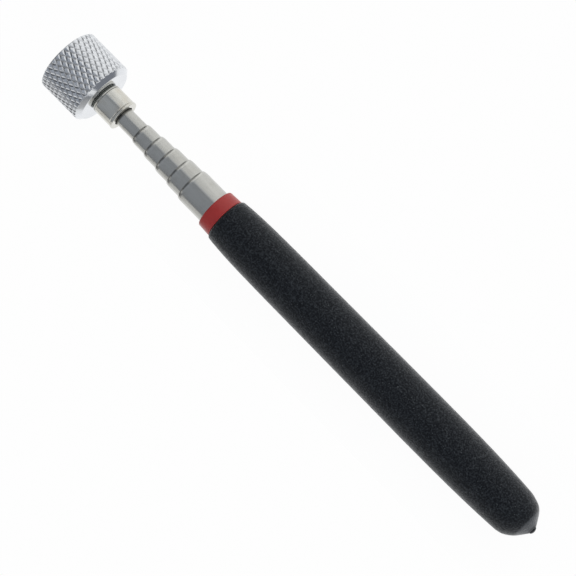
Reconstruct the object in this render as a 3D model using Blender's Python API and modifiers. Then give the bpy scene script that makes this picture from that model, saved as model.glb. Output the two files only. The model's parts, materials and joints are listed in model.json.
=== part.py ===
"""Telescoping magnetic pickup tool, pushed closed.

A knurled magnet head sits on the first of five sliding tubes, which nest in an outer tube with a soft grip.
The tool lies along X, with +Z up. Its origin is the centre of the magnet's front face, which looks to +X,
and the handle runs back to -X. Lengths are in metres. A piece's place is how far its front edge lies behind
that face, and its outline is a list of (distance behind its own front edge, radius). Round pieces are
many-sided: their flats, not their corners, lie at the stated radius, and one flat faces straight down.
"""

import math

import bpy

# Driving dimensions
CLOSED_LENGTH = 0.1905
STROKE = 0.117
MOVING_TUBES = 5
FIRST_TUBE_RADIUS = 0.0030
TUBE_STEP = 0.0005
TUBE_WALL = 0.00026
REVEAL = 0.0053
OUTER_TUBE_FRONT = 0.0523
SIDES = 24

# Fits
SLIDING_GAP = 0.00005
SEATED_GAP = 0.0001
STOP_GAP = 0.0003

# Rolled mouth at the front of each tube
MOUTH_LENGTH = 0.0016
MOUTH_RIM = 0.00014
MOUTH_STEPS = 4

# Bush and friction spring at the rear of each sliding tube
FLANGE_LENGTH = 0.0016
BUSH_WALL = 0.0006
SPRING_LENGTH = 0.0070
SPRING_WALL = 0.00010
SPRING_BOW = 0.00002
SPRING_SPLIT = math.radians(24)

# Magnet head
HEAD_LENGTH = 0.0158
HEAD_RADIUS = 0.0103
HEAD_REAR_RADIUS = 0.0088
HEAD_CHAMFER = 0.0014
HEAD_EDGE = 0.0004
CUP_BORE = 0.0084
CUP_DEPTH = 0.0123
MAGNET_RADIUS = 0.0066
MAGNET_LENGTH = 0.0085
BACKING_LENGTH = 0.0033
BACKING_POCKET_DEPTH = 0.0022
BACKING_POCKET_RADIUS = 0.0032

# Screw, lock washer and collar that hold the head on the first tube
SCREW_RADIUS = 0.0015
SCREW_HOLE = 0.0017
SCREW_HEAD_RADIUS = 0.00275
SCREW_HEAD_LENGTH = 0.0018
SCREW_SLOT_WIDTH = 0.0007
SCREW_SLOT_DEPTH = 0.0008
SCREW_END = 0.0255
WASHER_INNER = 0.0018
WASHER_OUTER = 0.0046
WASHER_LENGTH = 0.00035
WASHER_SPLIT = math.radians(14)
COLLAR_FRONT = 0.01625
COLLAR_END = 0.0240
COLLAR_RADIUS = 0.0049
COLLAR_LIP_RADIUS = 0.0050
COLLAR_LIP_LENGTH = 0.0008
COLLAR_EDGE = 0.0003
COLLAR_FRONT_WALL = 0.0016
COLLAR_RECESS_DEPTH = 0.0022
COLLAR_RECESS_RADIUS = 0.0036
INSERT_LENGTH = 0.0095

# Handle
OUTER_TUBE_END = 0.1845
RING_FRONT = 0.0621
RING_LENGTH = 0.0045
RING_FRONT_RADIUS = 0.00645
RING_REAR_RADIUS = 0.00665
RING_EDGE = 0.0002
GRIP_FRONT = 0.0668
GRIP_MOUTH_RADIUS = 0.0069
GRIP_SHOULDER_LENGTH = 0.0012
GRIP_SHOULDER_RADIUS = 0.0073
GRIP_BELLY = 0.1430
GRIP_BELLY_RADIUS = 0.00818
GRIP_SLIMMING = 0.00022
GRIP_TAIL = 0.1822
GRIP_TAIL_RADIUS = 0.00727
GRIP_FRONT_POWER = 12
GRIP_REAR_POWER = 3
GRIP_STEPS = 6
TAIL_CORNER = (0.1862, 0.00675)
TAIL_CONE_START = (0.1881, 0.0040)
TAIL_CONE_END = (0.1897, 0.00155)
NUB_BASE = 0.1898
NUB_RADIUS = 0.0013

FULL_TURN = 2 * math.pi
CORNER_REACH = 1 / math.cos(math.pi / SIDES)
AXIS_MERGE = 0.000001

# Finishes: base colour, roughness and metallic value
CHROME_STEEL = ((0.62, 0.64, 0.67, 1), 0.22, 1.0)
NICKEL_BRASS = ((0.66, 0.65, 0.62, 1), 0.20, 1.0)
PLAIN_STEEL = ((0.45, 0.45, 0.46, 1), 0.38, 1.0)
BLACK_STEEL = ((0.06, 0.06, 0.06, 1), 0.45, 1.0)
MAGNET_NICKEL = ((0.55, 0.54, 0.52, 1), 0.30, 1.0)
BRASS = ((0.75, 0.56, 0.27, 1), 0.32, 1.0)
BRONZE = ((0.66, 0.42, 0.26, 1), 0.35, 1.0)
RED_PLASTIC = ((0.33, 0.035, 0.030, 1), 0.42, 0.0)
DARK_VINYL = ((0.016, 0.018, 0.022, 1), 0.62, 0.0)
BLACK_PLASTIC = ((0.02, 0.02, 0.02, 1), 0.50, 0.0)


def clear_scene():
    for old in list(bpy.data.objects):
        bpy.data.objects.remove(old, do_unlink=True)


def new_collection(name):
    collection = bpy.data.collections.new(name)
    bpy.context.scene.collection.children.link(collection)
    return collection


def give_material(piece, finish):
    colour, roughness, metallic = finish
    material = bpy.data.materials.new(piece.name)
    material.use_nodes = True
    shader = material.node_tree.nodes["Principled BSDF"]
    shader.inputs["Base Color"].default_value = colour
    shader.inputs["Roughness"].default_value = roughness
    shader.inputs["Metallic"].default_value = metallic
    piece.data.materials.append(material)


def tool_axis(collection):
    """An empty whose local +Z is the tool's axis, towards the magnet's face."""
    axis = bpy.data.objects.new("tool_axis", None)
    axis.rotation_euler.y = math.pi / 2
    collection.objects.link(axis)
    return axis


def radius_of(tube):
    """Outer radius of a tube, counted from 1 at the head."""
    return FIRST_TUBE_RADIUS + (tube - 1) * TUBE_STEP


def bore_of(tube):
    return radius_of(tube) - TUBE_WALL


def front_of(tube):
    """Where a tube starts: the first one inside the collar, the others one reveal behind each other."""
    if tube == 1:
        return COLLAR_FRONT + COLLAR_FRONT_WALL + SEATED_GAP
    return OUTER_TUBE_FRONT - (MOVING_TUBES + 1 - tube) * REVEAL


def rear_of(tube):
    """Where a sliding tube's bush ends, one stroke behind where its spring meets the next tube's mouth."""
    return front_of(tube + 1) + MOUTH_LENGTH + STROKE + SPRING_LENGTH + FLANGE_LENGTH + 3 * SEATED_GAP


def tube_end_of(tube):
    return rear_of(tube) - FLANGE_LENGTH - SEATED_GAP


def fraction_steps(count):
    return [step / count for step in range(count + 1)]


def quarter_round(start, end, steps):
    """Points from start to end on a quarter ellipse that leaves start steeply and arrives at end level."""
    points = []
    for part in fraction_steps(steps):
        angle = part * math.pi / 2
        distance = start[0] + (end[0] - start[0]) * (1 - math.cos(angle))
        radius = start[1] + (end[1] - start[1]) * math.sin(angle)
        points.append((distance, radius))
    return points


class Workshop:
    """The collection, axis and cutters that the pieces are made with."""

    def __init__(self):
        self.parts = new_collection("magnetic_pickup_tool")
        self.cutters = new_collection("cutters")
        self.axis = tool_axis(self.parts)

    def turn(self, name, front, outline, finish, angle=FULL_TURN):
        """An outline turned round the tool's axis. It closes on itself unless it starts on the axis."""
        points = [(radius * CORNER_REACH, 0, -distance) for distance, radius in outline]
        edges = [(i, i + 1) for i in range(len(points) - 1)]
        if angle == FULL_TURN and outline[0][1] > 0:
            edges.append((len(points) - 1, 0))
        mesh = bpy.data.meshes.new(name)
        mesh.from_pydata(points, edges, [])
        piece = bpy.data.objects.new(name, mesh)
        piece.parent = self.axis
        piece.location.z = -front
        piece.rotation_euler.z = math.pi / SIDES
        self.parts.objects.link(piece)
        screw = piece.modifiers.new("Turn", "SCREW")
        screw.angle = angle
        screw.steps = SIDES
        screw.render_steps = SIDES
        screw.use_merge_vertices = angle == FULL_TURN
        screw.merge_threshold = AXIS_MERGE
        screw.use_smooth_shade = True
        give_material(piece, finish)
        return piece

    def split_ring(self, name, front, line, wall, split, finish):
        """A thin line turned round the axis except over the split, and thickened evenly to both sides."""
        piece = self.turn(name, front, line, finish, FULL_TURN - split)
        solid = piece.modifiers.new("Wall", "SOLIDIFY")
        solid.thickness = wall
        solid.offset = 0
        solid.use_even_offset = True
        return piece

    def slot_across(self, piece, front, size):
        """Cuts a straight slot of size (depth, width, length) into a piece's front face."""
        depth, width, length = size
        bpy.ops.mesh.primitive_cube_add(size=1)
        cutter = bpy.context.object
        cutter.name = piece.name + "_slot"
        for collection in list(cutter.users_collection):
            collection.objects.unlink(cutter)
        self.cutters.objects.link(cutter)
        cutter.parent = self.axis
        cutter.scale = (length, width, 2 * depth)
        cutter.location.z = -front
        cutter.hide_render = True
        cutter.display_type = "WIRE"
        cut = piece.modifiers.new("Slot", "BOOLEAN")
        cut.object = cutter
        cut.operation = "DIFFERENCE"
        cut.solver = "EXACT"


def make_magnet_cup(shop):
    outline = [(0, CUP_BORE), (0, HEAD_RADIUS - HEAD_EDGE), (HEAD_EDGE, HEAD_RADIUS)]
    outline += [(HEAD_LENGTH - HEAD_CHAMFER, HEAD_RADIUS), (HEAD_LENGTH, HEAD_REAR_RADIUS)]
    outline += [(HEAD_LENGTH, SCREW_HOLE), (CUP_DEPTH, SCREW_HOLE), (CUP_DEPTH, CUP_BORE)]
    shop.turn("magnet_cup", 0, outline, CHROME_STEEL)


def make_magnet(shop):
    solid = [(0, 0), (0, MAGNET_RADIUS), (MAGNET_LENGTH, MAGNET_RADIUS), (MAGNET_LENGTH, 0)]
    shop.turn("disc_magnet", 0, solid, MAGNET_NICKEL)
    inner = MAGNET_RADIUS + SEATED_GAP
    outer = CUP_BORE - SEATED_GAP
    ring = [(0, inner), (0, outer), (MAGNET_LENGTH, outer), (MAGNET_LENGTH, inner)]
    shop.turn("magnet_spacer_ring", 0, ring, BLACK_PLASTIC)
    pocket_floor = BACKING_LENGTH - BACKING_POCKET_DEPTH
    disc = [
        (0, 0),
        (0, outer),
        (BACKING_LENGTH, outer),
        (BACKING_LENGTH, BACKING_POCKET_RADIUS),
        (pocket_floor, BACKING_POCKET_RADIUS),
        (pocket_floor, 0),
    ]
    shop.turn("backing_disc", MAGNET_LENGTH + SEATED_GAP, disc, PLAIN_STEEL)


def make_head_screw(shop):
    front = CUP_DEPTH - SEATED_GAP - SCREW_HEAD_LENGTH
    length = SCREW_END - front
    outline = [
        (0, 0),
        (0, SCREW_HEAD_RADIUS),
        (SCREW_HEAD_LENGTH, SCREW_HEAD_RADIUS),
        (SCREW_HEAD_LENGTH, SCREW_RADIUS),
        (length, SCREW_RADIUS),
        (length, 0),
    ]
    screw = shop.turn("head_screw", front, outline, PLAIN_STEEL)
    shop.slot_across(screw, front, (SCREW_SLOT_DEPTH, SCREW_SLOT_WIDTH, 3 * SCREW_HEAD_RADIUS))


def make_lock_washer(shop):
    line = [(0, WASHER_INNER), (0, WASHER_OUTER)]
    middle = (HEAD_LENGTH + COLLAR_FRONT) / 2
    shop.split_ring("lock_washer", middle, line, WASHER_LENGTH, WASHER_SPLIT, BLACK_STEEL)


def make_collar(shop):
    length = COLLAR_END - COLLAR_FRONT
    lip = length - COLLAR_LIP_LENGTH
    bore = radius_of(1) + SLIDING_GAP
    outline = [
        (0, SCREW_HOLE),
        (0, COLLAR_RADIUS - COLLAR_EDGE),
        (COLLAR_EDGE, COLLAR_RADIUS),
        (lip, COLLAR_RADIUS),
        (lip + COLLAR_EDGE, COLLAR_LIP_RADIUS),
        (length, COLLAR_LIP_RADIUS),
        (length, COLLAR_RECESS_RADIUS),
        (length - COLLAR_RECESS_DEPTH, COLLAR_RECESS_RADIUS),
        (length - COLLAR_RECESS_DEPTH, bore),
        (COLLAR_FRONT_WALL, bore),
        (COLLAR_FRONT_WALL, SCREW_HOLE),
    ]
    shop.turn("collar", COLLAR_FRONT, outline, NICKEL_BRASS)


def make_tube_insert(shop):
    outer = bore_of(1) - SLIDING_GAP
    inner = SCREW_RADIUS + SLIDING_GAP
    outline = [(0, inner), (0, outer), (INSERT_LENGTH, outer), (INSERT_LENGTH, inner)]
    shop.turn("tube_insert", front_of(1), outline, BRASS)


def tube_outline(tube, length):
    """A plain front end on the first tube, and on the others a mouth rolled in towards the tube inside."""
    outer = radius_of(tube)
    bore = bore_of(tube)
    if tube == 1:
        return [(0, bore), (0, outer), (length, outer), (length, bore)]
    mouth = radius_of(tube - 1) + SLIDING_GAP
    roll = quarter_round((0, mouth + MOUTH_RIM), (MOUTH_LENGTH, outer), MOUTH_STEPS)
    inner_step = MOUTH_LENGTH - MOUTH_RIM
    return [(0, mouth)] + roll + [(length, outer), (length, bore), (MOUTH_LENGTH, bore), (inner_step, mouth)]


def make_tube(shop, name, tube, end):
    front = front_of(tube)
    shop.turn(name, front, tube_outline(tube, end - front), NICKEL_BRASS)


def make_slide_bush(shop, tube):
    """A ring behind the tube's end, with a spigot up its bore that the next smaller bush stops against."""
    spigot = REVEAL - FLANGE_LENGTH - STOP_GAP
    spigot_radius = bore_of(tube) - SLIDING_GAP
    flange_radius = bore_of(tube + 1) - SLIDING_GAP
    hole = spigot_radius - BUSH_WALL
    length = spigot + FLANGE_LENGTH
    outline = [
        (0, hole),
        (0, spigot_radius),
        (spigot, spigot_radius),
        (spigot, flange_radius),
        (length, flange_radius),
        (length, hole),
    ]
    shop.turn(f"slide_bush_{tube}", rear_of(tube) - length, outline, BRASS)


def make_friction_spring(shop, tube):
    """A split sleeve in the gap between a tube and the next, bowed a little outwards at its middle."""
    middle = (radius_of(tube) + bore_of(tube + 1)) / 2
    bowed = middle + SPRING_BOW
    half = SPRING_LENGTH / 2
    line = [(0, middle), (half / 2, bowed), (half, bowed), (1.5 * half, bowed), (SPRING_LENGTH, middle)]
    front = tube_end_of(tube) - SEATED_GAP - SPRING_LENGTH
    shop.split_ring(f"friction_spring_{tube}", front, line, SPRING_WALL, SPRING_SPLIT, BRONZE)


def make_mast(shop):
    for tube in range(1, MOVING_TUBES + 1):
        make_tube(shop, f"tube_{tube}", tube, tube_end_of(tube))
        make_slide_bush(shop, tube)
        make_friction_spring(shop, tube)
    make_tube(shop, "outer_tube", MOVING_TUBES + 1, OUTER_TUBE_END)


def make_end_plug(shop):
    front = rear_of(MOVING_TUBES) + STOP_GAP
    radius = bore_of(MOVING_TUBES + 1) - SLIDING_GAP
    length = OUTER_TUBE_END - front
    outline = [(0, 0), (0, radius), (length, radius), (length, 0)]
    shop.turn("tube_end_plug", front, outline, BRASS)


def make_grip_ring(shop):
    bore = radius_of(MOVING_TUBES + 1) + SLIDING_GAP
    outline = [
        (0, bore),
        (0, RING_FRONT_RADIUS - RING_EDGE),
        (RING_EDGE, RING_FRONT_RADIUS),
        (RING_LENGTH, RING_REAR_RADIUS),
        (RING_LENGTH, bore),
    ]
    shop.turn("grip_ring", RING_FRONT, outline, RED_PLASTIC)


def grip_radius(place):
    """The grip's slim barrel. From the belly it slims slowly forward and then fast, and swiftly to the tail."""
    if place < GRIP_BELLY:
        front = GRIP_FRONT + GRIP_SHOULDER_LENGTH
        part = (GRIP_BELLY - place) / (GRIP_BELLY - front)
        fast = GRIP_BELLY_RADIUS - GRIP_SLIMMING - GRIP_SHOULDER_RADIUS
        return GRIP_BELLY_RADIUS - GRIP_SLIMMING * part - fast * part**GRIP_FRONT_POWER
    part = (place - GRIP_BELLY) / (GRIP_TAIL - GRIP_BELLY)
    return GRIP_BELLY_RADIUS - (GRIP_BELLY_RADIUS - GRIP_TAIL_RADIUS) * part**GRIP_REAR_POWER


def rounded_corner(start, corner, end, steps):
    """Points on a curve that leaves start towards the corner and arrives at end from it."""
    points = []
    for part in fraction_steps(steps):
        weights = ((1 - part) ** 2, 2 * part * (1 - part), part**2)
        place = sum(weight * point[0] for weight, point in zip(weights, (start, corner, end)))
        radius = sum(weight * point[1] for weight, point in zip(weights, (start, corner, end)))
        points.append((place, radius))
    return points


def grip_outside():
    """(place, radius) from the grip's mouth over its barrel and coned tail to the drip nub's tip."""
    mouth = (GRIP_FRONT, GRIP_MOUTH_RADIUS)
    shoulder = (GRIP_FRONT + GRIP_SHOULDER_LENGTH, GRIP_SHOULDER_RADIUS)
    points = quarter_round(mouth, shoulder, 2)
    for part in fraction_steps(GRIP_STEPS)[1:]:
        place = shoulder[0] + (GRIP_BELLY - shoulder[0]) * part * part
        points.append((place, grip_radius(place)))
    for part in fraction_steps(GRIP_STEPS)[1:-1]:
        place = GRIP_BELLY + (GRIP_TAIL - GRIP_BELLY) * part
        points.append((place, grip_radius(place)))
    points += rounded_corner((GRIP_TAIL, GRIP_TAIL_RADIUS), TAIL_CORNER, TAIL_CONE_START, GRIP_STEPS)
    points.append(TAIL_CONE_END)
    nub = quarter_round((CLOSED_LENGTH, 0), (NUB_BASE, NUB_RADIUS), MOUTH_STEPS)
    return points + list(reversed(nub))


def make_grip(shop):
    bore = radius_of(MOVING_TUBES + 1) + SLIDING_GAP
    floor = OUTER_TUBE_END - GRIP_FRONT + SEATED_GAP
    inside = [(floor, 0), (floor, bore), (0, bore)]
    outside = [(place - GRIP_FRONT, radius) for place, radius in grip_outside()]
    shop.turn("grip", GRIP_FRONT, inside + outside, DARK_VINYL)


def main():
    clear_scene()
    shop = Workshop()
    make_magnet_cup(shop)
    make_magnet(shop)
    make_head_screw(shop)
    make_lock_washer(shop)
    make_collar(shop)
    make_tube_insert(shop)
    make_mast(shop)
    make_end_plug(shop)
    make_grip_ring(shop)
    make_grip(shop)


main()
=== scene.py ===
"""Looks of the telescoping magnetic pickup tool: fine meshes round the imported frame, their finishes, a
pale studio and the camera.

The tool lies along X, its magnet's face at the origin looking to +X, and its handle runs back to -X.
Lengths are in metres. A place on the tool is a distance behind the magnet's face, and an outline is a
list of (place, radius) points.
"""

import json
import math

import bmesh
import bpy
from mathutils import Matrix, Vector, noise


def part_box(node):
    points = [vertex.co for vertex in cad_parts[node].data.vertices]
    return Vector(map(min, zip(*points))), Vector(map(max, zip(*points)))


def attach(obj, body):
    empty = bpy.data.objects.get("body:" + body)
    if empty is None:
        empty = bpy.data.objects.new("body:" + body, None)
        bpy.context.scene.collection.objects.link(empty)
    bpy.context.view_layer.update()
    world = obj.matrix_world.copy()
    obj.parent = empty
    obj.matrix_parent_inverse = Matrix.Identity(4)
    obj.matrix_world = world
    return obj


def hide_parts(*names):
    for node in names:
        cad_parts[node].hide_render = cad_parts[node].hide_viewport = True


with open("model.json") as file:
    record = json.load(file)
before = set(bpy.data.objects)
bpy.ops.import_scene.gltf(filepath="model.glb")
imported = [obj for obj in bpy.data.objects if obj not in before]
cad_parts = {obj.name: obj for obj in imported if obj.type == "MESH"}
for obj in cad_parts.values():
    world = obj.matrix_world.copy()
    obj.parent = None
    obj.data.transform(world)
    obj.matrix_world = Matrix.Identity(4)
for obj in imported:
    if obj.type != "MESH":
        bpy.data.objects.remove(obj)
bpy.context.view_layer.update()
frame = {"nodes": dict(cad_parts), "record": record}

# Camera: the tool is seen from above, a little from its tail, and the camera is swung round the tool's axis
VIEW_AZIMUTH = math.radians(-133.9)
VIEW_ELEVATION = math.radians(77.26)
VIEW_DISTANCE = 0.620
VIEW_LENS = 136.75
VIEW_SWING = math.radians(12.7)
VIEW_CLIP = 0.01
AIM_PLACE = 0.09346
AIM_ASIDE = 0.00108

# Studio: radiance of the surroundings by the angle from straight up towards -Y, and its tint
DARK_TINT = (0.94, 1.0, 1.10)
BLUE_TINT = (1.0, 1.05, 1.16)
WHITE_TINT = (1.0, 1.0, 0.99)
SURROUNDINGS = (
    (-180, 0.92, WHITE_TINT),
    (-130, 0.82, WHITE_TINT),
    (-92, 0.86, WHITE_TINT),
    (-88, 0.17, DARK_TINT),
    (-76, 0.32, DARK_TINT),
    (-55, 0.36, DARK_TINT),
    (-15, 0.38, DARK_TINT),
    (10, 0.35, DARK_TINT),
    (20, 0.25, DARK_TINT),
    (27, 0.55, DARK_TINT),
    (34, 0.82, WHITE_TINT),
    (57, 0.88, WHITE_TINT),
    (78, 1.00, WHITE_TINT),
    (180, 0.96, WHITE_TINT),
)
# The same beyond the handle
TAIL_SURROUNDINGS = (
    (-180, 0.90, WHITE_TINT),
    (-140, 0.80, WHITE_TINT),
    (-108, 0.42, WHITE_TINT),
    (-88, 0.36, WHITE_TINT),
    (-76, 0.14, DARK_TINT),
    (-68, 0.30, DARK_TINT),
    (-62, 0.92, WHITE_TINT),
    (-24, 0.92, WHITE_TINT),
    (-14, 0.20, BLUE_TINT),
    (130, 0.21, BLUE_TINT),
    (150, 0.80, WHITE_TINT),
    (180, 0.90, WHITE_TINT),
)
# How far a direction turns to it by its X part, and the Z parts where that starts and is whole
TAIL_REACH = ((-1.0, 1.0), (-0.62, 1.0), (-0.44, 0.0))
TAIL_LOW = (-0.50, -0.38)
# How strong the light is towards the magnet's side, by the X part of a direction
FRONT_SHARE = (
    (0.32, 1.0),
    (0.37, 1.25),
    (0.45, 1.25),
    (0.52, 0.28),
    (0.70, 0.28),
    (0.80, 0.45),
    (1.0, 0.60),
)
# The dim ceiling's narrowing by the X part of a direction. CEILING_PLAIN leaves it as in SURROUNDINGS, more
# makes it narrower and less makes it wider, round its middle as a share of a turn
CEILING_PLAIN = 0.28
CEILING_NARROWING = (
    (-0.05, 0.55),
    (0.15, CEILING_PLAIN),
    (0.281, CEILING_PLAIN),
    (0.290, 0.16),
    (0.31, 0.16),
    (0.33, CEILING_PLAIN),
    (0.39, CEILING_PLAIN),
    (0.48, 0.50),
)
CEILING_MIDDLE = 0.411
# The shade beside the head, on its +Y side: the shares of a turn where it is whole and where it ends, its
# strength by the X part of a direction, and its radiance
SHADE_SIDE = (0.245, 0.260)
SHADE_FRONT = ((0.276, 0.0), (0.290, 1.0))
SHADE = 0.20

# The floor, and the places where it touches the tool
FLOOR_LENGTH = 0.26
FLOOR_WIDTH = 0.044
FLOOR_GLOW = 0.96
FLOOR_ALBEDO = 0.06
FLOOR_CONTACTS = (0.003, 0.143)
CLOSED_LENGTH = 0.1905

# Fineness of the round pieces, and how their corners are eased
SIDES = 144
INNER_SIDES = 72
CAD_SIDES = 24
CORNER = math.radians(32)
CORNER_SHARE = 0.4
SUPPORT = 1.2

# The tubes and what is inside them. Painted shade at mouths and collar is given by its length and strength
MOVING_TUBES = 5
TUBE_WALL = 0.00026
MOUTH_LENGTH = 0.0016
MOUTH_RIM = 0.00014
MOUTH_STEPS = 10
# Painted shade in the crevice at each mouth, and the collar's painted shadow on the first tube
MOUTH_SHADE = (0.00018, 0.6)
FIRST_MOUTH_SHADE = (0.00030, 1.0)
COLLAR_SHADOW = (0.0009, 1.6)
COLLAR_SHADOW_STEPS = 5
SLIDING_GAP = 0.00005
BUSH_WALL = 0.0006
SPRING_WALL = 0.00010
SPRING_BOW = 0.00002
SPRING_SPLIT = math.radians(24)
SPRING_STEPS = 12

# Magnet head
KNURL_STARTS = 36
KNURL_CELLS = 10
KNURL_EDGE = 0.0004
KNURL_DEPTH = 0.00017
KNURL_FLANK = 0.30
KNURL_PITCH = 0.0032
HEAD_CHAMFER = 0.0014
HEAD_CHAMFER_POWER = 1.08
HEAD_CHAMFER_STEPS = 8
HEAD_REAR_RADIUS = 0.0088
CUP_BORE = 0.0084
CUP_DEPTH = 0.0123
SCREW_HOLE = 0.0017
MAGNET_EDGE = 0.0003
SPACER_RECESS = 0.00015
SEATED_GAP = 0.0001
POCKET_DEPTH = 0.0022
POCKET_RADIUS = 0.0032
EDGE_BREAK = 0.00012

# Screw, its slot and thread, and the insert that it holds
SCREW_RADIUS = 0.0015
SCREW_HEAD_LENGTH = 0.0018
SCREW_NECK = 0.0008
THREAD_PITCH = 0.0005
THREAD_DEPTH = 0.00027
THREAD_ROWS = 8
SLOT_DEPTH = 0.0008
SLOT_WIDTH = 0.0007
SLOT_WELD = 0.000002
INSERT_GROOVES = 6
INSERT_GROOVE = 0.00015

# Collar and lock washer. COLLAR_UNSHADED_EDGE: the share of the front edge's height free of painted shade
COLLAR_LIP_LENGTH = 0.0008
COLLAR_LIP_RISE = 0.0001
COLLAR_LIP_GROOVE = 0.0003
COLLAR_RIM_LENGTH = 0.0005
COLLAR_RIM_GROOVE = 0.00016
COLLAR_EDGE = 0.00014
COLLAR_SOFTNESS = 0.00006
COLLAR_FRONT_WALL = 0.0016
COLLAR_RECESS_DEPTH = 0.0022
COLLAR_RECESS_RADIUS = 0.0033
COLLAR_UNSHADED_EDGE = 0.75
# Strength of the painted shade in the recess, and of the slight darkening on the rim
RECESS_SHADE = 0.3
RIM_DARKENING = 0.1
WASHER_INNER = 0.0018
WASHER_INSET = 0.0002
WASHER_LENGTH = 0.00033
WASHER_SPLIT = math.radians(14)
WASHER_RISE = 0.00005

# Ring and grip. DRIP_CONE gives the places where the grip's smooth cone starts and ends
RING_TAPER = 0.0002
RING_EDGE = 0.0003
RING_STEPS = 5
PLACE_DIGITS = 5
GRIP_SIDES = 168
GRIP_STEP = 0.00032
GRAIN_SIZE = 0.0008
GRAIN_DEPTH = 0.00005
LUMP_SIZE = 0.012
LUMP_DEPTH = 0.00003
DRIP_CONE = (0.1871, 0.1894)
DRIP_LEAN = 0.00028
DRIP_LEAN_START = 0.1845
DRIP_EDGE = 0.0002

# Tints
TUBE_CLEAN = (0.545, 0.545, 0.520, 1)
TUBE_STAINED = (0.475, 0.470, 0.440, 1)
COLLAR_CLEAN = (0.700, 0.695, 0.650, 1)
COLLAR_STAINED = (0.640, 0.600, 0.520, 1)
DRAW_LINE = (0.40, 0.40, 0.39, 1)
# Tint of the painted shade at the tube mouths and round the collar
PAINTED_SHADE_TINT = (0.030, 0.030, 0.028, 1)
CHROME_DULL = (0.73, 0.75, 0.78, 1)
CHROME_CLEAN = (0.81, 0.83, 0.86, 1)
# Tint of the knurl's grooves: partly dirt, partly painted shade
CHROME_DIRT_AND_SHADE = (0.28, 0.29, 0.315, 1)
MAGNET_CLEAN = (0.56, 0.55, 0.53, 1)
MAGNET_DULL = (0.36, 0.35, 0.34, 1)
SPACER_DARK = (0.016, 0.016, 0.016, 1)
SPACER_PALE = (0.030, 0.030, 0.031, 1)
RED_DEEP = (0.45, 0.027, 0.025, 1)
RED_BRIGHT = (0.55, 0.040, 0.036, 1)
RED_DUST = (0.52, 0.18, 0.17, 1)
GRIP_HOLLOW = (0.0008, 0.0030, 0.0066, 1)
GRIP_GRAIN = (0.0140, 0.0220, 0.0320, 1)
GRIP_PATCH = (0.012, 0.015, 0.019, 1)
GRIP_SPECK = (0.10, 0.112, 0.12, 1)
GRIP_SMOOTH = (0.048, 0.056, 0.068, 1)
# Clean tint, stained tint and roughness
TURNED_METALS = {
    "plain_steel": ((0.46, 0.46, 0.47, 1), (0.30, 0.29, 0.28, 1), 0.36),
    # The washer steel's dark tints are painted shade for the dark gap it sits in
    "black_steel": ((0.22, 0.23, 0.21, 1), (0.14, 0.145, 0.13, 1), 0.45),
    "brass": ((0.76, 0.57, 0.28, 1), (0.50, 0.36, 0.18, 1), 0.30),
    "spring_bronze": ((0.66, 0.43, 0.27, 1), (0.42, 0.27, 0.18, 1), 0.34),
}

# The Mix node's colour sockets, which share their names with its other kinds
MIX_FACTOR, MIX_A, MIX_B, MIX_RESULT = 0, 6, 7, 2

BODY_OF = {
    node: body for body, nodes in frame["record"]["behaviour"]["bodies"].items() for node in nodes
}


def span_of(node):
    """(front place, rear place, radius) of a round CAD node."""
    low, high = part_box(node)
    return -high.x, -low.x, high.z


def radius_of(node):
    return span_of(node)[2]


def fractions(count):
    """Equal steps from 0 to 1, with both ends."""
    return [step / count for step in range(count + 1)]


def quarter_round(start, end, steps):
    """Points from start to end on a quarter ellipse that leaves start steeply and arrives at end level."""
    points = []
    for part in fractions(steps):
        angle = part * math.pi / 2
        place = start[0] + (end[0] - start[0]) * (1 - math.cos(angle))
        points.append((place, start[1] + (end[1] - start[1]) * math.sin(angle)))
    return points


def is_closed(outline):
    """Whether an outline comes back to its start. One that starts on the axis ends on it."""
    return outline[0][1] > 0


def eased(outline, reach=EDGE_BREAK, steps=3):
    """An outline with each corner rounded off, between two points that keep the faces beside it flat."""
    closed = is_closed(outline)
    result = []
    for index, corner in enumerate(outline):
        if not closed and index in (0, len(outline) - 1):
            result.append(corner)
            continue
        here = Vector(corner)
        before = Vector(outline[index - 1]) - here
        after = Vector(outline[(index + 1) % len(outline)]) - here
        if math.pi - before.angle(after) < CORNER:
            result.append(corner)
            continue
        cut = min(reach, CORNER_SHARE * before.length, CORNER_SHARE * after.length)
        first = here + before.normalized() * cut
        last = here + after.normalized() * cut
        result.append(tuple(here + before.normalized() * cut * SUPPORT))
        for part in fractions(steps):
            point = first.lerp(here, part).lerp(here.lerp(last, part), part)
            result.append(tuple(point))
        result.append(tuple(here + after.normalized() * cut * SUPPORT))
    return result


class Skin:
    """Rings of points round the tool's axis, joined into one surface."""

    def __init__(self, sides):
        self.sides = sides
        self.points = []
        self.faces = []

    def ring(self, place, radius, shift=0.0):
        """A ring of points, or one point on the axis. The radius may be a function of the angle."""
        start = len(self.points)
        if radius == 0:
            self.points.append((-place, 0.0, 0.0))
            return [start]
        for side in range(self.sides):
            angle = 2 * math.pi * (side + shift) / self.sides
            reach = radius(angle) if callable(radius) else radius
            self.points.append((-place, reach * math.sin(angle), reach * math.cos(angle)))
        return list(range(start, start + self.sides))

    def rings(self, outline):
        return [self.ring(place, radius) for place, radius in outline]

    def join(self, one, other):
        """Faces between two rings, where either may be a point on the axis."""
        count = max(len(one), len(other))
        for side in range(count):
            corners = [one[side % len(one)], one[(side + 1) % len(one)]]
            corners += [other[(side + 1) % len(other)], other[side % len(other)]]
            self.faces.append(tuple(dict.fromkeys(corners)))

    def join_all(self, rings, closed):
        for one, other in zip(rings, rings[1:]):
            self.join(one, other)
        if closed:
            self.join(rings[-1], rings[0])

    def piece(self, name, attributes=None):
        return new_piece(name, self.points, self.faces, attributes)


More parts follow.
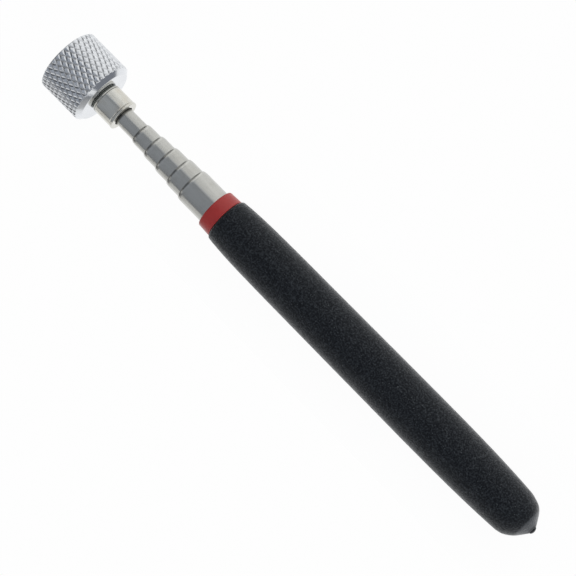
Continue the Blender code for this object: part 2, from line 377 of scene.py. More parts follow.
def new_piece(name, points, faces, attributes=None):
    """A smooth-shaded mesh object whose faces point out and whose corners stay sharp."""
    mesh = bpy.data.meshes.new(name)
    mesh.from_pydata(points, [], faces)
    for key, values in (attributes or {}).items():
        mesh.attributes.new(key, "FLOAT", "POINT").data.foreach_set("value", values)
    work = bmesh.new()
    work.from_mesh(mesh)
    bmesh.ops.recalc_face_normals(work, faces=work.faces)
    work.to_mesh(mesh)
    work.free()
    mesh.shade_smooth()
    mesh.set_sharp_from_angle(angle=CORNER)
    piece = bpy.data.objects.new(name, mesh)
    bpy.context.scene.collection.objects.link(piece)
    return piece


def turned(name, outline, sides=SIDES, marks=None):
    """A piece turned from an outline. Marks are point attributes, each a function of place and radius."""
    skin = Skin(sides)
    skin.join_all(skin.rings(outline), is_closed(outline))
    attributes = {}
    for key, rule in (marks or {}).items():
        attributes[key] = [rule(-x, math.hypot(y, z)) for x, y, z in skin.points]
    return skin.piece(name, attributes)


def swept(name, section, start, end, steps, rise=0.0):
    """A closed section swept round the axis between two angles, moving along it by rise, with flat ends."""
    count = len(section)
    points = []
    for part in fractions(steps):
        angle = start + (end - start) * part
        shift = rise * (part - 0.5)
        for place, radius in section:
            points.append((-place + shift, radius * math.sin(angle), radius * math.cos(angle)))
    faces = [tuple(range(count)), tuple(range(steps * count, (steps + 1) * count))]
    for step in range(steps):
        for index in range(count):
            after = (index + 1) % count
            low, high = step * count, (step + 1) * count
            faces.append((low + index, low + after, high + after, high + index))
    return new_piece(name, points, faces)


def stand_in(piece, node, finish):
    """The piece takes the place of a CAD node, moves with its body and gets its finish."""
    piece.data.materials.append(finish)
    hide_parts(node)
    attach(piece, BODY_OF[node])


# Finishes


class NodeTree:
    """Short ways to add and join shader nodes."""

    def __init__(self, tree):
        self.tree = tree

    def feed(self, socket, value):
        """Links another node's output to a socket, or sets the socket's value."""
        if isinstance(value, bpy.types.NodeSocket):
            self.tree.links.new(value, socket)
        else:
            socket.default_value = value

    def add(self, kind, output, inputs, **settings):
        """Adds a node and returns one of its outputs. Settings are the node's own properties."""
        node = self.tree.nodes.new(kind)
        for key, value in settings.items():
            setattr(node, key, value)
        for key, value in inputs.items():
            self.feed(node.inputs[key], value)
        return node.outputs[output]

    def maths(self, operation, one, other):
        return self.add("ShaderNodeMath", "Value", {0: one, 1: other}, operation=operation)

    def ramp(self, value, start, end, low=0.0, high=1.0):
        """Low at start, high at end, in a straight line between and held beyond them."""
        inputs = {"Value": value, "From Min": start, "From Max": end, "To Min": low, "To Max": high}
        return self.add("ShaderNodeMapRange", "Result", inputs, clamp=True)

    def colours(self, share, stops):
        """A colour by share, from a list of (share, colour) stops."""
        node = self.tree.nodes.new("ShaderNodeValToRGB")
        self.feed(node.inputs["Fac"], share)
        elements = node.color_ramp.elements
        elements.remove(elements[-1])
        for index, (position, colour) in enumerate(stops):
            element = elements[0] if index == 0 else elements.new(position)
            element.position = position
            element.color = tuple(colour) + (1,)
        return node.outputs["Color"]

    def mixed(self, factor, one, other):
        """One colour at factor 0, and the other at 1."""
        node = self.tree.nodes.new("ShaderNodeMix")
        node.data_type = "RGBA"
        self.feed(node.inputs[MIX_FACTOR], factor)
        self.feed(node.inputs[MIX_A], one)
        self.feed(node.inputs[MIX_B], other)
        return node.outputs[MIX_RESULT]


class Finish(NodeTree):
    """A Principled material, with short ways to make its patterns."""

    def __init__(self, name, **sockets):
        self.material = bpy.data.materials.new(name)
        self.material.use_nodes = True
        super().__init__(self.material.node_tree)
        self.shader = self.tree.nodes["Principled BSDF"]
        self.place = self.add("ShaderNodeTexCoord", "Object", {})
        self.wire(**sockets)

    def wire(self, **sockets):
        """Feeds the shader's sockets, named in small letters with underscores."""
        for key, value in sockets.items():
            self.feed(self.shader.inputs[key.replace("_", " ").title()], value)
        return self.material

    def stretched(self, along, across):
        """Coordinates whose patterns have this many waves a metre, along the tool and across it."""
        scale = (along, across, across)
        return self.add("ShaderNodeMapping", "Vector", {"Vector": self.place, "Scale": scale})

    def clouds(self, scale, detail=3.0, roughness=0.55, where=None):
        inputs = {"Vector": where or self.place, "Scale": scale, "Detail": detail, "Roughness": roughness}
        return self.add("ShaderNodeTexNoise", "Fac", inputs)

    def attribute(self, name):
        return self.add("ShaderNodeAttribute", "Fac", {}, attribute_name=name)

    def cells(self, scale):
        return self.add("ShaderNodeTexVoronoi", "Distance", {"Vector": self.place, "Scale": scale})

    def relief(self, height, distance, under=None):
        inputs = {"Height": height, "Distance": distance}
        if under:
            inputs["Normal"] = under
        return self.add("ShaderNodeBump", "Normal", inputs)


def grey(value):
    return (value, value, value, 1.0)


def nickel_finish():
    """Bright nickel: duller drawn tubes, a polished collar, stains, draw lines and painted shade at the
    joints.
    """
    plate = Finish("nickel_mast", metallic=1.0)
    polish = plate.attribute("polish")
    stains = plate.ramp(plate.clouds(230, detail=5.0, roughness=0.65), 0.48, 0.72)
    lines = plate.clouds(1.0, detail=4.0, roughness=0.6, where=plate.stretched(160, 4200))
    rings = plate.clouds(1.0, roughness=0.6, where=plate.stretched(3800, 150))
    clean = plate.mixed(polish, TUBE_CLEAN, COLLAR_CLEAN)
    stained = plate.mixed(polish, TUBE_STAINED, COLLAR_STAINED)
    tint = plate.mixed(plate.maths("MULTIPLY", stains, 0.8), clean, stained)
    streaks = plate.ramp(lines, 0.40, 0.70, high=0.30)
    tint = plate.mixed(streaks, tint, DRAW_LINE)
    # Painted shade: this mark darkens the tube mouths, the collar's groove, front face and recess, and the
    # first tube behind the collar
    darkening = plate.maths("MULTIPLY", plate.attribute("painted_shade"), 0.85)
    tint = plate.mixed(darkening, tint, PAINTED_SHADE_TINT)
    dulling = plate.ramp(stains, 0, 1, low=0.20, high=0.26)
    rough = plate.maths("ADD", dulling, plate.maths("MULTIPLY", polish, -0.08))
    drawn = plate.relief(lines, distance=0.0000022)
    wavy = plate.relief(plate.clouds(520, detail=2.0, roughness=0.5), distance=0.000006, under=drawn)
    ringed = plate.relief(rings, distance=0.0000012, under=wavy)
    return plate.wire(base_color=tint, roughness=rough, normal=ringed)


def chrome_finish():
    """Bright plate on the knurled head, its grooves darker in patches: partly dirt, partly painted shade.
    """
    chrome = Finish("chrome_head", metallic=1.0)
    darkening = chrome.ramp(chrome.clouds(700), 0.35, 0.7, low=0.15, high=0.70)
    # The grooves darken in patches by their depth: partly dirt, partly painted shade
    groove_dirt_and_shade = chrome.maths("MULTIPLY", chrome.attribute("groove"), darkening)
    clean = chrome.mixed(chrome.clouds(240), CHROME_DULL, CHROME_CLEAN)
    tint = chrome.mixed(groove_dirt_and_shade, clean, CHROME_DIRT_AND_SHADE)
    patches = chrome.ramp(chrome.clouds(900, detail=4.0), 0.3, 0.7, low=0.10, high=0.20)
    rough = chrome.maths("ADD", patches, chrome.maths("MULTIPLY", groove_dirt_and_shade, 0.2))
    pits = chrome.relief(chrome.clouds(2600, detail=4.0, roughness=0.6), distance=0.000012)
    return chrome.wire(base_color=tint, roughness=rough, normal=pits)


def turned_finish(name):
    """Turned metal: fine rings from the lathe, and a few darker stains."""
    clean, stained, rough = TURNED_METALS[name]
    metal = Finish(name, metallic=1.0)
    rings = metal.clouds(1.0, roughness=0.6, where=metal.stretched(9000, 260))
    stains = metal.ramp(metal.clouds(380, detail=4.0, roughness=0.6), 0.5, 0.75)
    tint = metal.mixed(metal.maths("MULTIPLY", stains, 0.6), clean, stained)
    roughness = metal.ramp(rings, 0.3, 0.7, low=rough - 0.07, high=rough + 0.09)
    grooved = metal.relief(rings, distance=0.000004)
    return metal.wire(base_color=tint, roughness=roughness, normal=grooved)


def magnet_finish():
    """A ground and plated magnet face: a fine sandy surface with duller spots."""
    face = Finish("magnet_nickel", metallic=1.0)
    sand = face.relief(face.clouds(5200, roughness=0.6), distance=0.000008)
    dull = face.ramp(face.clouds(520, detail=4.0, roughness=0.65), 0.5, 0.7)
    tint = face.mixed(face.maths("MULTIPLY", dull, 0.5), MAGNET_CLEAN, MAGNET_DULL)
    rough = face.ramp(dull, 0, 1, low=0.26, high=0.42)
    return face.wire(base_color=tint, roughness=rough, normal=sand)


def plastic_finish():
    """Matte moulded plastic between the magnet and its cup."""
    plastic = Finish("spacer_plastic")
    grain = plastic.clouds(4200, roughness=0.6)
    tint = plastic.mixed(plastic.clouds(600), SPACER_DARK, SPACER_PALE)
    rough = plastic.ramp(grain, 0.3, 0.7, low=0.42, high=0.62)
    return plastic.wire(base_color=tint, roughness=rough, normal=plastic.relief(grain, distance=0.00001))


def red_finish():
    """Satin red moulding, slightly uneven, with rubbed and dusty patches."""
    red = Finish("ring_red")
    mottle = red.clouds(420, detail=4.0, roughness=0.6)
    dust = red.ramp(red.clouds(2600, roughness=0.7), 0.60, 0.78)
    tint = red.mixed(mottle, RED_DEEP, RED_BRIGHT)
    tint = red.mixed(red.maths("MULTIPLY", dust, 0.25), tint, RED_DUST)
    rough = red.ramp(mottle, 0.3, 0.7, low=0.28, high=0.38)
    uneven = red.relief(red.clouds(1800), distance=0.000008)
    return red.wire(base_color=tint, roughness=rough, normal=uneven)


def grip_finish():
    """Dipped vinyl: dark, dull hollows, paler grains, a few pale specks, dust, and a smooth drip cone."""
    vinyl = Finish("grip_vinyl", sheen_weight=0.90, sheen_roughness=0.35)
    grain = vinyl.clouds(2100, roughness=0.6)
    fine = vinyl.clouds(4600, roughness=0.6)
    patches = vinyl.clouds(110, roughness=0.5)
    specks = vinyl.ramp(vinyl.cells(1500), 0.24, 0.12)
    rare = vinyl.ramp(vinyl.clouds(900, detail=2.0, roughness=0.5), 0.52, 0.60)
    smooth = vinyl.attribute("smooth")
    light = vinyl.ramp(grain, 0.44, 0.68)
    tint = vinyl.mixed(light, GRIP_HOLLOW, GRIP_GRAIN)
    tint = vinyl.mixed(vinyl.ramp(patches, 0.35, 0.7, high=0.2), tint, GRIP_PATCH)
    tint = vinyl.mixed(vinyl.maths("MULTIPLY", specks, rare), tint, GRIP_SPECK)
    tint = vinyl.mixed(smooth, tint, GRIP_SMOOTH)
    rough = vinyl.mixed(smooth, vinyl.ramp(grain, 0.3, 0.7, low=0.74, high=0.50), grey(0.42))
    gloss = vinyl.mixed(smooth, vinyl.ramp(light, 0, 1, low=0.22, high=0.60), grey(0.5))
    vinyl.feed(vinyl.shader.inputs["Specular IOR Level"], gloss)
    coarse = vinyl.relief(grain, distance=0.00018)
    sandy = vinyl.relief(fine, distance=0.00004, under=coarse)
    return vinyl.wire(base_color=tint, roughness=rough, normal=sandy)


# Magnet head


def groove_depth(phase):
    """How deep a groove of one knurl family is cut, from 0 on a flat to 1 at the groove's bottom."""
    return max(0.0, 1 - abs(phase - round(phase)) / KNURL_FLANK)


class Knurl:
    """The cup's diamond knurl: rows of points on a lattice whose lines follow both families of grooves."""

    def __init__(self, skin, front, rear, limit):
        self.skin = skin
        self.depths = []
        self.count = round((rear - front) / KNURL_PITCH * 2 * KNURL_CELLS)
        self.rows = []
        for row in range(self.count + 1):
            self.rows.append(self.make_row(row, front + (rear - front) * row / self.count, limit))

    def depth(self, row, step):
        """Cut depth at a row and at a half-cell step round the axis."""
        cells = 2 * KNURL_CELLS
        return max(groove_depth((step + row) / cells), groove_depth((step - row) / cells))

    def make_row(self, row, place, limit):
        """A row at a place. The chamfer, whose radius there is limit(place), cuts across the grooves."""
        depths = [self.depth(row, 2 * side + row % 2) for side in range(self.skin.sides)]
        self.depths += depths
        cuts = iter(depths)
        outside = radius_of("magnet_cup")
        return self.skin.ring(
            place, lambda angle: min(outside - KNURL_DEPTH * next(cuts), limit(place)), 0.5 * (row % 2)
        )

    def point(self, row, step):
        """The point at a row and a half-cell step. Odd rows hold the odd steps."""
        return self.rows[row][(step // 2) % self.skin.sides]

    def join(self):
        """Faces between the rows, with a row of triangles along the front and rear edges."""
        faces = self.skin.faces
        last = self.count
        for row in range(-1, last):
            for side in range(self.skin.sides):
                step = 2 * side + row % 2
                if row < 0:
                    edge = [self.point(0, step - 1), self.point(0, step + 1)]
                    faces.append((*edge, self.point(1, step)))
                elif row + 2 > last:
                    edge = [self.point(last, step + 1), self.point(last, step - 1)]
                    faces.append((self.point(row, step), *edge))
                else:
                    self.join_diamond(row, step)

    def join_diamond(self, row, step):
        """Two triangles, split along the crease where a groove's flank meets another's."""
        front, rear = self.point(row, step), self.point(row + 2, step)
        left, right = self.point(row + 1, step - 1), self.point(row + 1, step + 1)
        middle = 2 * self.depth(row + 1, step)
        along = abs(self.depth(row, step) + self.depth(row + 2, step) - middle)
        across = abs(self.depth(row + 1, step - 1) + self.depth(row + 1, step + 1) - middle)
        if along < across:
            self.skin.faces += [(front, right, rear), (front, rear, left)]
        else:
            self.skin.faces += [(front, right, left), (left, right, rear)]


def make_cup(finish):
    """The knurled cup. The knurl's rows take the place of the outline where they cover it."""
    front, rear, radius = span_of("magnet_cup")
    drop = radius - HEAD_REAR_RADIUS
    knurl_end = rear - HEAD_CHAMFER * (1 - (KNURL_DEPTH / drop) ** (1 / HEAD_CHAMFER_POWER))

    def chamfer(place):
        part = max(0, 1 - (rear - place) / HEAD_CHAMFER)
        return radius - drop * part**HEAD_CHAMFER_POWER

    skin = Skin(KNURL_STARTS * KNURL_CELLS)
    knurl = Knurl(skin, front + KNURL_EDGE, knurl_end, chamfer)
    knurl.join()
    places = [knurl_end + (rear - knurl_end) * part for part in fractions(HEAD_CHAMFER_STEPS)]
    outline = [(front + KNURL_EDGE, radius - KNURL_DEPTH)]
    outline += [(place, chamfer(place)) for place in places]
    outline += [
        (rear, SCREW_HOLE),
        (CUP_DEPTH, SCREW_HOLE),
        (CUP_DEPTH, CUP_BORE),
        (front, CUP_BORE),
        (front, radius - KNURL_EDGE),
    ]
    inside = radius - KNURL_EDGE / 2
    rest = [(place, reach) for place, reach in eased(outline) if place > knurl_end or reach < inside]
    skin.join_all([knurl.rows[-1]] + skin.rings(rest) + [knurl.rows[0]], closed=False)
    depths = knurl.depths + [0.0] * (len(skin.points) - len(knurl.depths))
    piece = skin.piece("fine_magnet_cup", {"groove": depths})
    stand_in(piece, "magnet_cup", finish)


def make_magnet(magnet_look, spacer_look, steel_look):
    """The disc magnet, the ring round it, and the steel behind it with a pocket for the screw's head."""
    front, rear, radius = span_of("disc_magnet")
    outline = [(front, 0), (front, radius), (rear, radius), (rear, 0)]
    disc = turned("fine_disc_magnet", eased(outline, MAGNET_EDGE))
    stand_in(disc, "disc_magnet", magnet_look)
    front, rear, outer = span_of("magnet_spacer_ring")
    inner = radius + SEATED_GAP
    face = front + SPACER_RECESS
    outline = [(face, inner), (face, outer), (rear, outer), (rear, inner)]
    ring = turned("fine_magnet_spacer_ring", eased(outline))
    stand_in(ring, "magnet_spacer_ring", spacer_look)
    front, rear, radius = span_of("backing_disc")
    floor = rear - POCKET_DEPTH
    outline = [(front, 0), (front, radius), (rear, radius)]
    outline += [(rear, POCKET_RADIUS), (floor, POCKET_RADIUS), (floor, 0)]
    backing = turned("fine_backing_disc", eased(outline))
    stand_in(backing, "backing_disc", steel_look)


# The screw, washer and collar behind the head


def thread_radius(place, angle, front):
    """Radius on the screw's single-start V thread, which begins at front."""
    turns = (place - front) / THREAD_PITCH - angle / (2 * math.pi)
    return SCREW_RADIUS - THREAD_DEPTH * abs(2 * (turns - math.floor(turns)) - 1)


def make_head_screw(finish):
    """The slotted screw that holds the cup, washer and collar on the first tube's insert."""
    front, rear, radius = span_of("head_screw")
    head_rear = front + SCREW_HEAD_LENGTH
    skin = Skin(INNER_SIDES)
    head = eased([(front, 0), (front, radius), (head_rear, radius), (head_rear, SCREW_RADIUS)])[:-1]
    rings = skin.rings(head)
    thread_front = head_rear + SCREW_NECK
    thread_rear = rear - EDGE_BREAK
    rings.append(skin.ring(head_rear, SCREW_RADIUS))
    rings.append(skin.ring(thread_front - THREAD_PITCH / 2, SCREW_RADIUS))
    rows = round((thread_rear - thread_front) / THREAD_PITCH * THREAD_ROWS)
    for part in fractions(rows):
        place = thread_front + (thread_rear - thread_front) * part
        rings.append(skin.ring(place, lambda angle: thread_radius(place, angle, thread_front)))
    rings += skin.rings([(rear, SCREW_RADIUS - THREAD_DEPTH - EDGE_BREAK), (rear, 0)])
    skin.join_all(rings, closed=False)
    screw = skin.piece("fine_head_screw")
    cut_slot(screw, front, length=3 * radius)
    stand_in(screw, "head_screw", finish)


def cut_slot(piece, front, length):
    """Cuts the driver's slot across the front of a piece, and cleans up the cut mesh."""
    work = bmesh.new()
    bmesh.ops.create_cube(work, size=1)
    for corner in work.verts:
        corner.co.x = corner.co.x * 2 * SLOT_DEPTH - front
        corner.co.y *= length
        corner.co.z *= SLOT_WIDTH
    cutter = bpy.data.objects.new("slot_cutter", bpy.data.meshes.new("slot_cutter"))
    work.to_mesh(cutter.data)
    work.free()
    bpy.context.scene.collection.objects.link(cutter)
    cut = piece.modifiers.new("slot", "BOOLEAN")
    cut.object = cutter
    cut.operation = "DIFFERENCE"
    shape = piece.evaluated_get(bpy.context.evaluated_depsgraph_get())
    work = bmesh.new()
    work.from_mesh(shape.data)
    bmesh.ops.remove_doubles(work, verts=work.verts, dist=SLOT_WELD)
    bmesh.ops.dissolve_degenerate(work, edges=work.edges, dist=SLOT_WELD)
    bmesh.ops.triangulate(work, faces=work.faces)
    piece.modifiers.clear()
    work.to_mesh(piece.data)
    work.free()
    bpy.data.objects.remove(cutter)


def make_lock_washer(finish):
    """A split spring washer, its two ends sprung apart along the axis."""
    front, rear, radius = span_of("lock_washer")
    middle = (front + rear) / 2
    half = WASHER_LENGTH / 2
    radius = radius - WASHER_INSET
    section = [
        (middle - half, WASHER_INNER),
        (middle - half, radius),
        (middle + half, radius),
        (middle + half, WASHER_INNER),
    ]
    start = math.pi + WASHER_SPLIT / 2
    end = start + 2 * math.pi - WASHER_SPLIT
    section = eased(section, WASHER_LENGTH / 4)
    washer = swept("fine_lock_washer", section, start, end, INNER_SIDES, WASHER_RISE)
    stand_in(washer, "lock_washer", finish)


def make_collar(finish):
    """The collar: a narrow rim and groove in front, a lip behind, and a recess round the first tube."""
    front, rear, lip_radius = span_of("collar")
    radius = lip_radius - COLLAR_LIP_RISE
    lip = rear - COLLAR_LIP_LENGTH
    bore = radius_of("tube_1") + SLIDING_GAP
    recess = rear - COLLAR_RECESS_DEPTH
    rim = front + COLLAR_RIM_LENGTH
    groove = rim + COLLAR_RIM_GROOVE / 2
    outline = [
        (front, SCREW_HOLE),
        (front, radius - COLLAR_EDGE),
        (front + COLLAR_EDGE, radius),
        (rim, radius),
        (groove, radius - COLLAR_RIM_GROOVE),
        (rim + COLLAR_RIM_GROOVE, radius),
        (lip - COLLAR_LIP_GROOVE, radius),
        (lip - COLLAR_LIP_GROOVE / 2, radius - COLLAR_LIP_RISE),
        (lip, radius),
        (lip + COLLAR_LIP_RISE, lip_radius),
        (rear - COLLAR_LIP_RISE, lip_radius),
        (rear, lip_radius - COLLAR_LIP_RISE),
        (rear, COLLAR_RECESS_RADIUS),
        (recess, COLLAR_RECESS_RADIUS),
        (recess, bore),
        (front + COLLAR_FRONT_WALL, bore),
        (front + COLLAR_FRONT_WALL, SCREW_HOLE),
    ]

    def painted_shade(place, reach):
        """Painted shade: full in the rim's groove and on the front face, weaker in the recess; the rim a
        little darker.
        """
        if abs(place - groove) < COLLAR_RIM_GROOVE / 3:
            return 1.0
        if place < rim:
            return RIM_DARKENING if reach > radius - COLLAR_EDGE * COLLAR_UNSHADED_EDGE else 1.0
        return RECESS_SHADE if reach < COLLAR_RECESS_RADIUS else 0.0

    marks = {"polish": lambda place, reach: 1.0, "painted_shade": painted_shade}
    collar = turned("fine_collar", eased(outline, COLLAR_SOFTNESS), SIDES, marks)
    stand_in(collar, "collar", finish)


# The mast


def tube_outline(node, inner):
    """A plain front end if nothing slides inside, or else a mouth rolled in towards the inner tube."""
    front, rear, radius = span_of(node)
    bore = radius - TUBE_WALL
    if inner is None:
        # Extra rings behind the collar carry the gradient of its painted shadow on this tube
        socket = [(span_of("collar")[1] + COLLAR_SHADOW[0] * part, radius) for part in fractions(COLLAR_SHADOW_STEPS)]
        return eased([(front, bore), (front, radius)] + socket + [(rear, radius), (rear, bore)])
    mouth = radius_of(inner) + SLIDING_GAP
    roll = quarter_round((front, mouth + MOUTH_RIM), (front + MOUTH_LENGTH, radius), MOUTH_STEPS)
    inside = front + MOUTH_LENGTH
    back = [(rear, radius), (rear, bore), (inside, bore), (inside - MOUTH_RIM, mouth)]
    return eased([(front, mouth)] + roll + back, MOUTH_RIM / 3)


def make_tubes(finish):
    """The tubes, each with a painted line of shade at its mouth, or a painted shadow where it leaves the
    collar.
    """
    inner = None
    for node in [f"tube_{number}" for number in range(1, MOVING_TUBES + 1)] + ["outer_tube"]:
        # Painted shade starts at each mouth, or at the collar's rear for the first tube
        shaded_from = span_of(node)[0] if inner else span_of("collar")[1]
        width, depth = MOUTH_SHADE if inner else COLLAR_SHADOW
        if inner == "tube_1":
            width, depth = FIRST_MOUTH_SHADE
        marks = {"painted_shade": lambda place, reach: min(1.0, max(0.0, depth * (1 - (place - shaded_from) / width)))}
        tube = turned("fine_" + node, tube_outline(node, inner), SIDES, marks)
        stand_in(tube, node, finish)
        inner = node


def make_tube_insert(finish):
    """A threaded plug pressed into the front of the first tube, with a grooved grip on its outside."""
    front, rear, radius = span_of("tube_insert")
    bore = SCREW_RADIUS + SLIDING_GAP
    groove = radius - INSERT_GROOVE
    outline = [(front, bore), (front, radius)]
    step = (rear - front) / (2 * INSERT_GROOVES + 1)
    for index in range(1, 2 * INSERT_GROOVES + 1, 2):
        start, end = front + step * index, front + step * (index + 1)
        outline += [(start, radius), (start, groove), (end, groove), (end, radius)]
    outline += [(rear, radius), (rear, bore)]
    insert = turned("fine_tube_insert", eased(outline, INSERT_GROOVE / 3), INNER_SIDES)
    stand_in(insert, "tube_insert", finish)


def make_slide_bush(number, finish):
    """The ring behind a tube's end, with the spigot that stands up its bore."""
    node = f"slide_bush_{number}"
    front, rear, radius = span_of(node)
    flange = span_of(f"tube_{number}")[1] + SEATED_GAP
    spigot = radius_of(f"tube_{number}") - TUBE_WALL - SLIDING_GAP
    hole = spigot - BUSH_WALL
    outline = [(front, hole), (front, spigot), (flange, spigot)]
    outline += [(flange, radius), (rear, radius), (rear, hole)]
    stand_in(turned("fine_" + node, eased(outline), INNER_SIDES), node, finish)


def make_friction_spring(number, finish):
    """A split bronze sleeve, bowed a little outwards at its middle."""
    node = f"friction_spring_{number}"
    front, rear, _ = span_of(node)
    bore = radius_of(f"tube_{number + 1}" if number < MOVING_TUBES else "outer_tube") - TUBE_WALL
    middle = (radius_of(f"tube_{number}") + bore) / 2
    outside, inside = [], []
    for part in fractions(SPRING_STEPS):
        place = front + (rear - front) * part
        radius = middle + SPRING_BOW * math.sin(math.pi * part)
        outside.append((place, radius + SPRING_WALL / 2))
        inside.append((place, radius - SPRING_WALL / 2))
    section = outside + list(reversed(inside))
    spring = swept("fine_" + node, section, SPRING_SPLIT, 2 * math.pi, INNER_SIDES)
    stand_in(spring, node, finish)


def make_end_plug(finish):
    """The plug in the rear of the outer tube, which the closed mast stops on."""
    front, rear, radius = span_of("tube_end_plug")
    outline = [(front, 0), (front, radius), (rear, radius), (rear, 0)]
    stand_in(turned("fine_tube_end_plug", eased(outline), INNER_SIDES), "tube_end_plug", finish)


# The handle


def make_grip_ring(finish):
    """The red ring, a little wider towards the grip, with a rounded front edge."""
    front, rear, radius = span_of("grip_ring")
    bore = radius_of("outer_tube") + SLIDING_GAP
    outline = [
        (front, bore),
        (front, radius - RING_TAPER - RING_EDGE),
        (front + RING_EDGE, radius - RING_TAPER),
        (rear, radius),
        (rear, bore),
    ]
    ring = turned("fine_grip_ring", eased(outline, RING_EDGE, RING_STEPS))
    stand_in(ring, "grip_ring", finish)


def cad_outside(node, floor):
    """(place, radius) of a turned CAD node's outside, from its rings of flats. Its bore ends at floor."""
    radii = {}
    for corner in frame["nodes"][node].data.vertices:
        place = round(-corner.co.x, PLACE_DIGITS)
        radius = math.hypot(corner.co.y, corner.co.z) * math.cos(math.pi / CAD_SIDES)
        radii[place] = max(radius, radii.get(place, 0))
    radii.pop(round(floor, PLACE_DIGITS))
    return sorted(radii.items())


def smooth_line(points, step):
    """A smooth line through points, with points of its own about a step apart."""
    line = []
    ends = [points[0]] + points + [points[-1]]
    for before, start, end, after in zip(ends, ends[1:], ends[2:], ends[3:]):
        a, b, c, d = (Vector(point) for point in (before, start, end, after))
        reach = (c - b).length
        leave = (c - a).normalized() * reach
        arrive = (d - b).normalized() * reach
        for part in fractions(max(1, round(reach / step)))[:-1]:
            square, cube = part**2, part**3
            point = b * (2 * cube - 3 * square + 1) + leave * (cube - 2 * square + part)
            point += c * (3 * square - 2 * cube) + arrive * (cube - square)
            line.append(tuple(point))
    return line + [points[-1]]


def grain_depth(place, angle, radius):
    """How far the grip's skin lies below its outline: sandy grain on broad, shallow lumps."""
    spot = Vector((place, radius * math.sin(angle), radius * math.cos(angle)))
    grain = 0.5 + 0.5 * noise.noise(spot / GRAIN_SIZE)
    lump = 0.5 + 0.5 * noise.noise(spot / LUMP_SIZE)
    return GRAIN_DEPTH * grain + LUMP_DEPTH * lump


def drip_lean(place, tip):
    """How far the drip cone's middle hangs to the -Y side."""
    part = (place - DRIP_LEAN_START) / (tip - DRIP_LEAN_START)
    return DRIP_LEAN * math.sin(math.pi * max(0.0, part))


def drip_smoothness(place):
    """1 on the smooth cone where the dip ran off, and 0 on the grained grip and on the nub."""
    start, end = DRIP_CONE
    return min(1.0, max(0.0, min(place - start, end - place) / DRIP_EDGE))


def make_grip(finish):
    """The dipped grip: its CAD outline made smooth, with grain in the skin and a leaning drip cone."""
    bore = radius_of("outer_tube") + SLIDING_GAP
    floor = span_of("outer_tube")[1] + SEATED_GAP
    outline = smooth_line(cad_outside("grip", floor), GRIP_STEP)
    front, tip = outline[0][0], outline[-1][0]
    skin = Skin(GRIP_SIDES)
    rings = skin.rings([(floor, 0), (floor, bore), (front + EDGE_BREAK, bore), (front, bore + EDGE_BREAK)])
    for place, radius in outline[:-1]:
        rings.append(skin.ring(place, lambda angle: radius - grain_depth(place, angle, radius)))
    rings.append(skin.ring(tip, 0))
    skin.join_all(rings, closed=False)
    places = [-point[0] for point in skin.points]
    skin.points = [(x, y - drip_lean(-x, tip), z) for x, y, z in skin.points]
    piece = skin.piece("fine_grip", {"smooth": [drip_smoothness(place) for place in places]})
    stand_in(piece, "grip", finish)


# The studio and the camera


def around_stops(table):
    """Colour stops of light by the share of a turn, from (degrees, radiance, tint)."""
    stops = []
    for degrees, radiance, tint in table:
        stops.append(((degrees + 180) / 360, [radiance * part for part in tint]))
    return stops


def along_stops(table):
    """Grey stops by the X part of a direction, from (X part, value)."""
    return [((along + 1) / 2, [value] * 3) for along, value in table]


def light_by_direction(sky):
    """The light that comes from each direction: by its angle round the tool, then by its X part."""
    direction = sky.add("ShaderNodeTexCoord", "Generated", {})
    split = sky.tree.nodes.new("ShaderNodeSeparateXYZ")
    sky.feed(split.inputs[0], direction)
    angle = sky.maths("ARCTAN2", sky.maths("MULTIPLY", split.outputs["Y"], -1.0), split.outputs["Z"])
    turn = sky.ramp(angle, -math.pi, math.pi)
    along = sky.ramp(split.outputs["X"], -1, 1)
    above = sky.ramp(split.outputs["Z"], *TAIL_LOW)
    narrowing = sky.maths("DIVIDE", sky.colours(along, along_stops(CEILING_NARROWING)), CEILING_PLAIN)
    aside = sky.maths("MULTIPLY", sky.maths("SUBTRACT", turn, CEILING_MIDDLE), narrowing)
    around = sky.colours(sky.maths("ADD", aside, CEILING_MIDDLE), around_stops(SURROUNDINGS))
    inputs = {0: around, 1: sky.colours(along, along_stops(FRONT_SHARE))}
    ahead = sky.add("ShaderNodeVectorMath", "Vector", inputs, operation="MULTIPLY")
    side = sky.ramp(turn, *SHADE_SIDE, 1.0, 0.0)
    shaded = sky.maths("MULTIPLY", side, sky.colours(along, along_stops(SHADE_FRONT)))
    ahead = sky.mixed(shaded, ahead, grey(SHADE))
    behind = sky.maths("MULTIPLY", sky.colours(along, along_stops(TAIL_REACH)), above)
    return sky.mixed(behind, ahead, sky.colours(turn, around_stops(TAIL_SURROUNDINGS)))


def make_surroundings():
    """Soft light: a white window on the -Y side, a white floor, and a dim ceiling over the tool."""
    world = bpy.data.worlds.new("studio")
    world.use_nodes = True
    bpy.context.scene.world = world
    sky = NodeTree(world.node_tree)
    studio = world.node_tree.nodes["Background"]
    sky.feed(studio.inputs["Color"], light_by_direction(sky))
    plain = sky.add("ShaderNodeBackground", 0, {"Color": grey(FLOOR_GLOW + FLOOR_ALBEDO / 2)})
    seen = sky.add("ShaderNodeLightPath", "Is Camera Ray", {})
    mix = sky.add("ShaderNodeMixShader", 0, {0: seen, 1: studio.outputs[0], 2: plain})
    sky.feed(world.node_tree.nodes["World Output"].inputs["Surface"], mix)


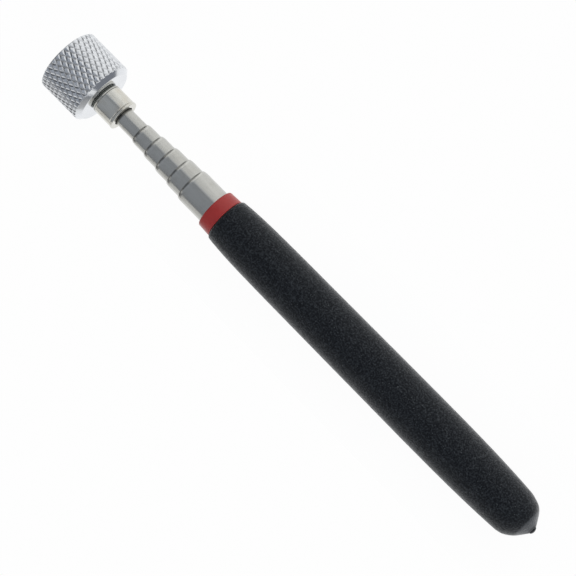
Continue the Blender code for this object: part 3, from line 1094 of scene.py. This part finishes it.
def make_floor():
    """A pale floor under the tool, which touches it at the head's rim and at the grip's belly."""
    head = Vector((-FLOOR_CONTACTS[0], 0, -radius_of("magnet_cup")))
    grip = Vector((-FLOOR_CONTACTS[1], 0, -radius_of("grip")))
    along = (head - grip).normalized() * FLOOR_LENGTH / 2
    aside = Vector((0, FLOOR_WIDTH / 2, 0))
    middle = Vector((-CLOSED_LENGTH / 2, 0, 0))
    middle.z = grip.z + (grip.x - middle.x) / (grip.x - head.x) * (head.z - grip.z)
    points = [middle + along * i + aside * j for i, j in ((-1, -1), (1, -1), (1, 1), (-1, 1))]
    mesh = bpy.data.meshes.new("floor")
    mesh.from_pydata(points, [], [(0, 1, 2, 3)])
    floor = bpy.data.objects.new("floor", mesh)
    bpy.context.scene.collection.objects.link(floor)
    material = bpy.data.materials.new("floor")
    material.use_nodes = True
    shader = material.node_tree.nodes["Principled BSDF"]
    shader.inputs["Base Color"].default_value = grey(FLOOR_ALBEDO)
    shader.inputs["Roughness"].default_value = 1.0
    shader.inputs["Specular IOR Level"].default_value = 0.0
    shader.inputs["Emission Color"].default_value = grey(1.0)
    shader.inputs["Emission Strength"].default_value = FLOOR_GLOW
    floor.data.materials.append(material)


def make_camera():
    """The camera looks at the aim from its azimuth and elevation, and both swing round the tool's axis."""
    camera = bpy.data.objects.new("camera", bpy.data.cameras.new("camera"))
    bpy.context.scene.collection.objects.link(camera)
    aim = Vector((-AIM_PLACE, AIM_ASIDE, 0))
    level = math.cos(VIEW_ELEVATION)
    direction = Vector(
        (math.sin(VIEW_AZIMUTH) * level, -math.cos(VIEW_AZIMUTH) * level, math.sin(VIEW_ELEVATION))
    )
    turn = direction.to_track_quat("Z", "Y").to_matrix().to_4x4()
    stand = Matrix.Translation(aim + direction * VIEW_DISTANCE) @ turn
    camera.matrix_world = Matrix.Rotation(VIEW_SWING, 4, "X") @ stand
    camera.data.lens = VIEW_LENS
    camera.data.clip_start = VIEW_CLIP
    bpy.context.scene.camera = camera


def main():
    bpy.context.scene.view_settings.view_transform = "Standard"
    make_camera()
    make_surroundings()
    make_floor()
    nickel = nickel_finish()
    steel = turned_finish("plain_steel")
    brass = turned_finish("brass")
    bronze = turned_finish("spring_bronze")
    make_cup(chrome_finish())
    make_magnet(magnet_finish(), plastic_finish(), steel)
    make_head_screw(steel)
    # The washer's darker steel is painted shade for the gap between the head and the collar
    make_lock_washer(turned_finish("black_steel"))
    make_collar(nickel)
    make_tube_insert(brass)
    make_tubes(nickel)
    for number in range(1, MOVING_TUBES + 1):
        make_slide_bush(number, brass)
        make_friction_spring(number, bronze)
    make_end_plug(brass)
    make_grip_ring(red_finish())
    make_grip(grip_finish())


main()
